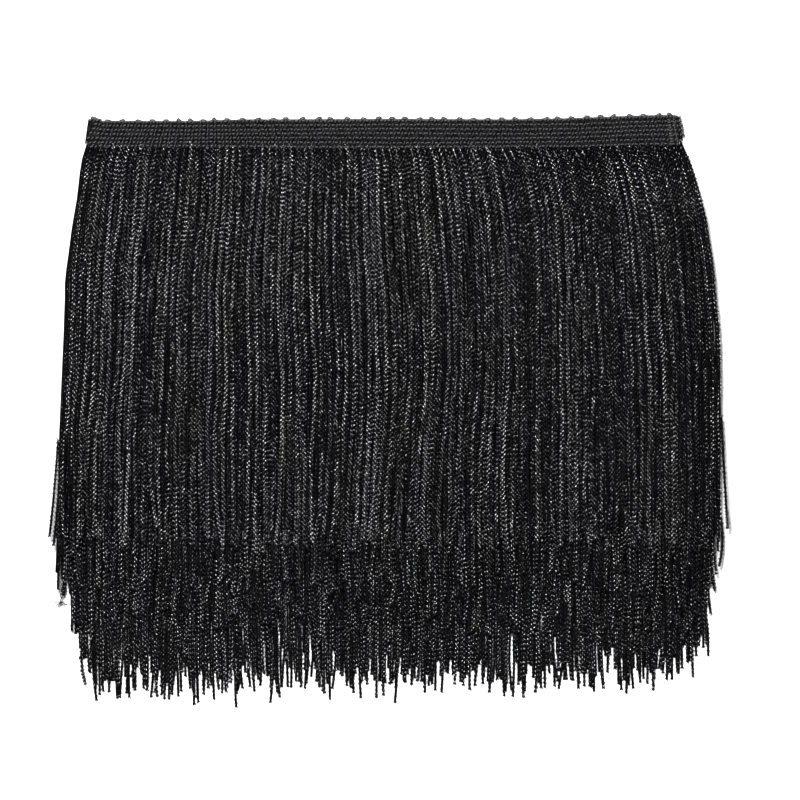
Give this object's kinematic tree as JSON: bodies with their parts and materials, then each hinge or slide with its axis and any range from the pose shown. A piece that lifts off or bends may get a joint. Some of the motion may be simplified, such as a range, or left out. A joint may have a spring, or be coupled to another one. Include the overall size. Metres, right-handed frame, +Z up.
{
  "type": "folded chainette fringe trim",
  "caption": "Length of black chainette fringe: a narrow crocheted header tape with long chain-stitched strands, folded back and forth and laid flat.",
  "frame": {"origin": "on the surface that the trim lies on, under the middle of the top run's header tape", "axes": "+X along the header tape to the right, +Y from the strand ends towards the header, +Z up, away from the surface"},
  "size_m": [0.2297, 0.2016, 0.0075],
  "materials": {
    "header_yarn": "matt black crocheted yarn",
    "strand_yarn": "satin black chain-stitched yarn"
  },
  "bodies": {
    "root": {"header_tape": "header_yarn", "fringe_top": "strand_yarn", "fringe_second": "strand_yarn", "fringe_third": "strand_yarn", "fringe_bottom": "strand_yarn"}
  },
  "joints": []
}
